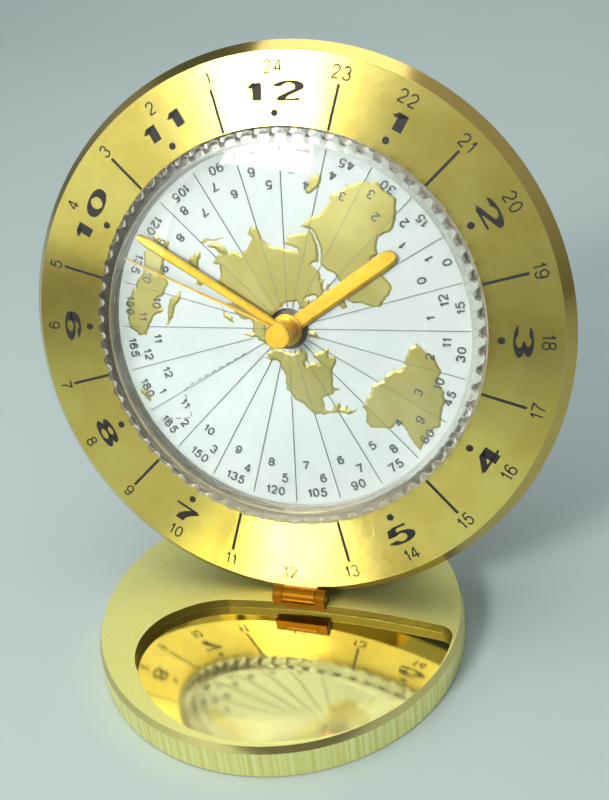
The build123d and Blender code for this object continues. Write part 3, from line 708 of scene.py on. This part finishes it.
def crystal_drum(material):
    """The crystal as a drum with smooth flutes and a domed window."""
    sharp_angle = math.radians(32)
    mesh = grown("crystal_drum", drum_tree(drum_profile()), {
        "Flutes": flute_count,
        "Flute radius": flute_r,
        "Drum radius": drum_r,
        "Steps": flute_steps,
        "Material": material,
    })
    mesh.transform(dial)
    outwards(mesh)
    mesh.shade_smooth()
    mesh.set_sharp_from_angle(angle=sharp_angle)
    drum = mesh_piece("crystal_drum", mesh, material, "world_disc")
    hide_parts("crystal")


def coast_step(point):
    """Small sideways step of a coast in the dial's face."""
    step = Vector()
    for waves, reach in coast_waves:
        step += noise.noise_vector(point * waves) * reach
    return step.to_2d()


def land_outlines():
    """Coast lines of the CAD land as closed rings of points in the dial's face."""
    weld = 0.002
    upward = 0.9
    work = bmesh.new()
    work.from_mesh(frame["nodes"]["map_land"].data)
    bmesh.ops.transform(work, matrix=dial.inverted(), verts=work.verts)
    bmesh.ops.remove_doubles(work, verts=work.verts, dist=weld)
    work.normal_update()
    work.verts.index_update()
    work.verts.ensure_lookup_table()
    middle_z = map_z + land_t / 2
    tops = [face for face in work.faces
            if face.normal.z > upward and face.calc_center_median().z > middle_z]
    on_top = set(tops)
    following = {}
    for face in tops:
        for loop in face.loops:
            if sum(neighbour in on_top for neighbour in loop.edge.link_faces) == 1:
                onward = loop.link_loop_next.vert.index
                following.setdefault(loop.vert.index, []).append(onward)
    rings = []
    while following:
        at = min(following)
        ring = []
        while at in following:
            ring.append(work.verts[at].co.to_2d())
            onward = following[at].pop()
            if not following[at]:
                del following[at]
            at = onward
        if abs(ring_area(ring)) > least_island:
            rings.append(ring)
    work.free()
    return rings


def ring_area(ring):
    """Area inside a closed ring of points."""
    return sum(here.cross(there) for here, there in zip(ring, ring[1:] + ring[:1])) / 2


def ragged_ring(ring):
    """A coast in short steps that wander from the smooth line."""
    points = []
    for here, there in zip(ring, ring[1:] + ring[:1]):
        steps = max(1, round((there - here).length / coast_length))
        for step in range(steps):
            point = here.lerp(there, step / steps)
            points.append(point + coast_step(point.to_3d()))
    return points


def shore_points(points):
    """Points inland of a coast, where the shore's bevel ends."""
    inland = []
    for before, here, after in zip(points[-1:] + points[:-1], points, points[1:] + points[:1]):
        along = after - before
        if along.length > 0:
            across = Vector((-along.y, along.x)).normalized()
            inland.append(here + across * shore_w)
    return inland


def ragged_land(material):
    """The land with ragged coasts and a bevelled shore."""
    noise.seed_set(coast_seed)
    rings = [ragged_ring(ring) for ring in land_outlines()]
    points = []
    edges = []
    for ring in rings:
        start = len(points)
        points += ring
        edges += [(start + at, start + (at + 1) % len(ring)) for at in range(len(ring))]
    coast = kdtree.KDTree(len(points))
    for index, point in enumerate(points):
        coast.insert(point.to_3d(), index)
    coast.balance()
    inland = [point for ring in rings for point in shore_points(ring)]
    least_w = 0.8 * shore_w
    inland = [point for point in inland if coast.find(point.to_3d())[2] > least_w]
    inside_with_holes = 4
    weld = 0.01
    found = delaunay_2d_cdt(points + inland, edges, [], inside_with_holes, weld)
    flat_points, triangles = found[0], found[2]
    uses = {}
    for a, b, c in triangles:
        for edge in ((a, b), (b, c), (c, a)):
            uses[edge] = uses.get(edge, 0) + 1
    shore = [edge for edge in uses if (edge[1], edge[0]) not in uses]
    low = {vert for edge in shore for vert in edge}
    top_z = map_z + land_t
    solid = []
    for index, point in enumerate(flat_points):
        solid.append((point.x, point.y, top_z - shore_drop if index in low else top_z))
    under = len(solid)
    solid += [(point.x, point.y, map_z) for point in flat_points]
    faces = [tuple(triangle) for triangle in triangles]
    faces += [(c + under, b + under, a + under) for a, b, c in triangles]
    faces += [(b, a, a + under, b + under) for a, b in shore]
    mesh = bpy.data.meshes.new("ragged_land")
    mesh.from_pydata(solid, [], faces)
    mesh.transform(dial)
    outwards(mesh)
    land = mesh_piece("ragged_land", mesh, material, "world_disc")
    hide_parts("map_land")


def outwards(mesh):
    """Turns every face outwards."""
    work = bmesh.new()
    work.from_mesh(mesh)
    bmesh.ops.recalc_face_normals(work, faces=work.faces)
    work.to_mesh(mesh)
    work.free()


def ring_of_marks(name, tree, material, body, values):
    """Equal marks around the dial's middle as one piece."""
    mesh = grown(name, tree, {**values, "Material": material})
    mesh.transform(dial)
    mesh_piece(name, mesh, material, body)


def bow(middle, radii, start, end):
    """Points of an arc between two angles in degrees."""
    step_angle = 15
    steps = max(3, round(abs(end - start) / step_angle))
    points = []
    for step in range(steps + 1):
        angle = math.radians(start + (end - start) * step / steps)
        points.append((middle[0] + radii[0] * math.cos(angle), middle[1] + radii[1] * math.sin(angle)))
    return points


# Pen lines of each figure in a box one wide and one high
digit_lines = {
    "0": [bow((0.5, 0.5), (0.5, 0.5), 0, 360)],
    "1": [[(1, 1), (1, 0)], [(0.0, 0.72), (0.35, 0.74), (0.62, 0.82), (0.9, 0.98)]],
    "2": [
        bow((0.5, 0.70), (0.5, 0.30), 172, -25) + [(0.72, 0.44), (0.3, 0.22), (0.04, 0.02)],
        [(0.0, 0.0), (1.0, 0.0)],
    ],
    "3": [
        bow((0.5, 0.76), (0.45, 0.24), 165, -80),
        bow((0.5, 0.27), (0.5, 0.27), 85, -168),
    ],
    "4": [[(0.72, 1), (0.72, 0)], [(0.62, 1), (0.0, 0.30)], [(-0.1, 0.28), (1.12, 0.28)]],
    "5": [[(0.24, 1), (0.95, 1)], [(0.24, 1), (0.1, 0.50)], bow((0.5, 0.31), (0.5, 0.33), 142, -165)],
    "6": [bow((0.5, 0.30), (0.5, 0.30), 0, 360), bow((0.5, 0.5), (0.5, 0.5), 36, 200)],
    "7": [[(-0.1, 1), (1.08, 1)], [(1.0, 0.98), (0.62, 0.62), (0.42, 0.3), (0.36, 0.0)]],
    "8": [bow((0.5, 0.77), (0.44, 0.23), 0, 360), bow((0.5, 0.27), (0.5, 0.27), 0, 360)],
    "9": [bow((0.5, 0.70), (0.5, 0.30), 0, 360), bow((0.5, 0.5), (0.5, 0.5), 20, -144)],
}


def pen_offset(points, index, nib):
    """Half of the pen's width and height across the line's direction."""
    before = points[max(0, index - 1)]
    after = points[min(len(points) - 1, index + 1)]
    closed = math.dist(points[0], points[-1]) < 1e-6
    if closed:
        before = points[index - 1] if index else points[-2]
        after = points[index + 1] if index < len(points) - 1 else points[1]
    across = (-(after[1] - before[1]), after[0] - before[0])
    spread = math.hypot(nib[0] * across[0], nib[1] * across[1]) or 1.0
    return (nib[0] ** 2 * across[0] / spread, nib[1] ** 2 * across[1] / spread)


def pen_stroke(points, nib):
    """Pairs of points on the two sides of what a pen with an oval nib leaves along a line."""
    rim = []
    for index, (x, y) in enumerate(points):
        dx, dy = pen_offset(points, index, nib)
        rim.append(((x + dx, y + dy), (x - dx, y - dy)))
    return rim


class Print:
    """Flat strips of print gathered into one thin mesh."""

    def __init__(self, base, height):
        self.base = base
        self.height = height
        self.points = []
        self.faces = []

    def strip(self, rim):
        """Adds a closed solid strip from pairs of points."""
        start = len(self.points)
        for left, right in rim:
            for x, y in (left, right):
                self.points.append((x, y, self.base))
                self.points.append((x, y, self.base + self.height))
        for step in range(len(rim) - 1):
            a = start + 4 * step
            b = a + 4
            self.faces.append((a + 1, b + 1, b + 3, a + 3))
            self.faces.append((a, a + 2, b + 2, b))
            self.faces.append((a, b, b + 1, a + 1))
            self.faces.append((a + 2, a + 3, b + 3, b + 2))
        last = start + 4 * (len(rim) - 1)
        self.faces.append((start, start + 1, start + 3, start + 2))
        self.faces.append((last, last + 2, last + 3, last + 1))

    def number(self, text, middle, up, box, nib, advance):
        """Writes figures around a middle, with the top of the text along up."""
        right = (up[1], -up[0])
        narrow_one = 0.42
        widths = [box[0] * (narrow_one if figure == "1" else 1.0) for figure in text]
        total = sum(widths) + advance * (len(text) - 1)
        pen_x = -total / 2
        for figure, width in zip(text, widths):
            for line in digit_lines[figure]:
                points = [(pen_x + x * width, (y - 0.5) * box[1]) for x, y in line]
                rim = pen_stroke(points, nib)
                self.strip([[turn_point(point, middle, right, up) for point in pair] for pair in rim])
            pen_x += width + advance

    def mesh(self, name):
        mesh = bpy.data.meshes.new(name)
        mesh.from_pydata(self.points, [], self.faces)
        mesh.transform(dial)
        outwards(mesh)
        return mesh


def turn_point(point, middle, right, up):
    """A point of upright text, placed around a middle with its own right and up."""
    x = middle[0] + point[0] * right[0] + point[1] * up[0]
    y = middle[1] + point[0] * right[1] + point[1] * up[1]
    return (x, y)


def clock_point(distance, turn):
    """Point at a distance and a clockwise turn in degrees from twelve."""
    angle = math.radians(turn)
    return (distance * math.sin(angle), distance * math.cos(angle))


def hour_numbers(material):
    """Heavy wide figures, none at six."""
    sheet = Print(print_lift, ink_t)
    stem = 0.76
    thin = 0.18
    gap = 1.8
    for hour in (1, 2, 3, 4, 5, 7, 8, 9, 10, 11, 12):
        outward = clock_point(1, hour_angle * hour)
        upright = 1 if hour in (9, 10, 11, 12, 1, 2, 3) else -1
        up = (outward[0] * upright, outward[1] * upright)
        box = (hour_number_w - 2 * stem, hour_number_h - 2 * thin)
        middle = clock_point(hour_number_r, hour_angle * hour)
        sheet.number(str(hour), middle, up, box, (stem, thin), 2 * stem + gap)
    mesh_piece("hour_numbers", sheet.mesh("hour_numbers"), material, "head")


def day_numbers(material):
    """Thin figures of the 24 hour ring, which run against the clock."""
    sheet = Print(print_lift, ink_t)
    gap = 0.65
    for place in range(24):
        hour = (24 - place) % 24 or 24
        outward = clock_point(1, day_angle * place)
        upright = 1 if place >= 18 or place <= 6 else -1
        up = (outward[0] * upright, outward[1] * upright)
        box = (day_number_w - 2 * fine_pen, day_number_h - 2 * fine_pen)
        middle = clock_point(day_number_r, day_angle * place)
        sheet.number(str(hour), middle, up, box, (fine_pen, fine_pen), gap)
    mesh_piece("day_numbers", sheet.mesh("day_numbers"), material, "head")


def place_numbers(material):
    """Three rows of plain figures near the world disc's edge, tall enough to show on the land."""
    sheet = Print(map_print_z, land_t + ink_t)
    gap = 0.5
    for row, (distance, offset, height) in enumerate(place_rows):
        for place in range(24):
            degrees = abs((day_angle * place + 180) % 360 - 180)
            figure = (degrees, place % 12 + 1, degrees // day_angle)[row]
            turn = map_turn - day_angle * place + offset
            outward = clock_point(1, turn)
            inward = (-outward[0], -outward[1])
            middle = clock_point(distance, turn)
            box = (place_number_w, height - 2 * fine_pen)
            sheet.number(str(figure), middle, inward, box, (fine_pen, fine_pen), gap)
    mesh_piece("place_numbers", sheet.mesh("place_numbers"), material, "world_disc")


def date_line(material):
    """Dashes of the line where the date changes."""
    sheet = Print(map_z + print_lift, ink_t)
    route = [
        (-7.5, -4.4),
        (-18.0, -10.4),
        (-18.8, -11.4),
        (-18.3, -13.8),
        (-17.7, -16.0),
        (-19.4, -16.3),
        (-23.5, -16.5),
    ]
    dash = 0.95
    gap = 0.6
    half_w = 0.07
    carried = 0.0
    for start, end in zip(route, route[1:]):
        length = math.dist(start, end)
        along = ((end[0] - start[0]) / length, (end[1] - start[1]) / length)
        across = (-along[1] * half_w, along[0] * half_w)
        at = -carried
        while at < length:
            low = max(0.0, at)
            high = min(length, at + dash)
            if high > low:
                rim = []
                for where in (low, high):
                    x = start[0] + along[0] * where
                    y = start[1] + along[1] * where
                    rim.append(((x + across[0], y + across[1]), (x - across[0], y - across[1])))
                sheet.strip(rim)
            at += dash + gap
        carried = length - (at - dash - gap)
    mesh_piece("date_line", sheet.mesh("date_line"), material, "world_disc")


def dress_nodes():
    """Gives every node of the frame its finish."""
    hand = (0.70, 0.42, 0.035), (0.78, 0.49, 0.06)
    # The hinge's very dark gold is painted shade, for the shade it lies in under the bezel.
    hinge = (0.17, 0.065, 0.003), (0.22, 0.09, 0.005)
    finishes = {
        "hand_gold": polished_gold("hand_gold", *hand, 0.35),
        "hinge_gold": polished_gold("hinge_gold", *hinge, 0.6),
        "bright_steel": bright_steel(),
        "wheel_plastic": moulded("wheel_plastic", (0.80, 0.78, 0.70), 0.35, 0.5, 0.01),
        "movement_plastic": moulded("movement_plastic", (0.10, 0.085, 0.06), 0.45, 0.3, 0.02),
        "case_black": moulded("case_black", (0.022, 0.022, 0.024), 0.48, 0.22, 0.03),
        "board_green": moulded("board_green", (0.02, 0.16, 0.07), 0.3, 0.8, 0.01),
        "magnet_dark": moulded("magnet_dark", (0.09, 0.09, 0.10), 0.5, 0.2, 0.02),
        "stand_brass": stand_brass(),
        "bezel_gold": spun_gold(),
        "clear_drum": clear_drum(),
        "disc_white": disc_white(),
        "land_gold": land_gold(),
        "pad_felt": felt(),
        "copper_wire": copper_wire(),
        "battery_jacket": battery_jacket(),
    }
    slots = {part["node"]: part["material_slot"] for part in frame["record"]["subparts"]}
    for name, node in frame["nodes"].items():
        node.data.materials.clear()
        node.data.materials.append(finishes[slots[name]])
    return finishes


def stage_floor():
    """Plain pale floor that curves up into a backdrop, in metres."""
    half_w = 1.5
    front = -1.2
    back = 0.55
    curve = 0.5
    curve_steps = 12
    top = 2.0
    profile = [(front, 0.0), (back, 0.0)]
    for step in range(1, curve_steps + 1):
        angle = math.radians(90 * step / curve_steps)
        profile.append((back + curve * math.sin(angle), curve * (1 - math.cos(angle))))
    profile.append((back + curve, top))
    points = []
    faces = []
    for y, z in profile:
        points += [(-half_w, y, z), (half_w, y, z)]
    for step in range(len(profile) - 1):
        a = 2 * step
        faces.append((a, a + 1, a + 3, a + 2))
    mesh = bpy.data.meshes.new("floor")
    mesh.from_pydata(points, [], faces)
    mesh.shade_smooth()
    finish = Finish("floor_pale", Metallic=0.0, Roughness=0.7)
    coordinates = finish.node("ShaderNodeTexCoord", output="Object")
    cloud = finish.noise(coordinates, 9.0, 3.0)
    finish.set(Base_Color=finish.mix(cloud, (0.34, 0.415, 0.40), (0.38, 0.455, 0.435)))
    mesh.materials.append(finish.material)
    floor = bpy.data.objects.new("floor", mesh)
    bpy.context.scene.collection.objects.link(floor)


def softbox(name, toward, distance, size, watts, colour):
    """Rectangular lamp in a direction from the dial's middle, aimed at it, in metres."""
    lamp = bpy.data.lights.new(name, "AREA")
    lamp.shape = "RECTANGLE"
    lamp.size = size[0]
    lamp.size_y = size[1]
    lamp.energy = watts
    lamp.color = colour
    holder = bpy.data.objects.new(name, lamp)
    bpy.context.scene.collection.objects.link(holder)
    direction = Vector(toward).normalized()
    holder.location = dial_centre + direction * distance
    holder.rotation_euler = direction.to_track_quat("Z", "Y").to_euler()


def studio():
    """Soft lamps and a pale even surrounding."""
    softbox("glare_box", (-0.3219, -0.803, 0.502), 0.7, (0.17, 0.13), 4.3, (1.0, 0.98, 0.95))
    softbox("top_box", (-0.1, 0.1, 1.0), 0.9, (0.9, 0.9), 4.4, (0.96, 0.98, 1.0))
    softbox("left_box", (-0.85, -0.62, 0.45), 0.9, (0.6, 0.5), 1.2, (0.94, 1.0, 0.93))
    softbox("back_box", (-0.1, 0.85, 0.5), 0.9, (0.9, 0.5), 1.3, (0.98, 1.0, 0.98))
    world = bpy.data.worlds.new("room")
    world.use_nodes = True
    bpy.context.scene.world = world
    graph = Graph(world.node_tree)
    _, _, z = graph.split(graph.node("ShaderNodeTexCoord", output="Generated"))
    sky = graph.ramp(z * 0.5 + 0.5, [
        (0.0, (0.30, 0.32, 0.33)),
        (0.5, (0.36, 0.38, 0.38)),
        (0.75, (0.75, 0.8, 0.84)),
        (1.0, (0.9, 0.95, 1.0)),
    ])
    background = world.node_tree.nodes["Background"]
    world.node_tree.links.new(sky.socket, background.inputs["Color"])
    background.inputs["Strength"].default_value = 0.5


def camera():
    """The photograph's view."""
    place = Vector((52.64, -127.1, 123.92)) * mm
    look = Vector((-0.3219, 0.83284, -0.45029))
    right = Vector((0.94605, 0.3015, -0.11867))
    up = right.cross(look)
    turn = Matrix((right, up, -look)).transposed()
    lens = bpy.data.cameras.new("camera")
    lens.lens = 47.04
    lens.sensor_width = 36.0
    lens.shift_x = 0.0503
    lens.shift_y = -0.0696
    lens.clip_start = 0.001
    holder = bpy.data.objects.new("camera", lens)
    bpy.context.scene.collection.objects.link(holder)
    holder.matrix_world = Matrix.Translation(place) @ turn.to_4x4()
    bpy.context.scene.camera = holder


finishes = dress_nodes()
black_ink = ink("print_black", (0.012, 0.012, 0.012), (0.035, 0.03, 0.02))
grey_ink = ink("print_grey", (0.05, 0.055, 0.06), (0.12, 0.12, 0.12))
line_ink = ink("print_line", (0.09, 0.10, 0.10), (0.15, 0.16, 0.16))
crystal_drum(finishes["clear_drum"])
ragged_land(finishes["land_gold"])

marks = marks_tree()
ring_of_marks("hour_ticks", marks, black_ink, "head", {
    "Marks": 12,
    "First turn": math.radians(hour_angle / 2),
    "Ring radius": (tick_inner_r + tick_outer_r) / 2,
    "Mark length": tick_outer_r - tick_inner_r,
    "Mark width": tick_w,
    "Mark height": ink_t,
    "Base": print_lift,
})
ring_of_marks("hour_dots", marks, black_ink, "head", {
    "Marks": 12,
    "First turn": 0.0,
    "Ring radius": dot_r,
    "Mark width": dot_size,
    "Mark height": ink_t,
    "Base": print_lift,
    "Round": True,
    "Left out": 6,
})
ring_of_marks("meridians", marks, line_ink, "world_disc", {
    "Marks": 24,
    "First turn": math.radians(map_turn),
    "Ring radius": (meridian_inner_r + meridian_outer_r) / 2,
    "Mark length": meridian_outer_r - meridian_inner_r,
    "Mark width": meridian_w,
    "Mark height": land_t + ink_t,
    "Base": map_print_z,
})
hour_numbers(black_ink)
day_numbers(black_ink)
place_numbers(grey_ink)
date_line(grey_ink)

stage_floor()
studio()
camera()
bpy.context.scene.view_settings.view_transform = "Standard"
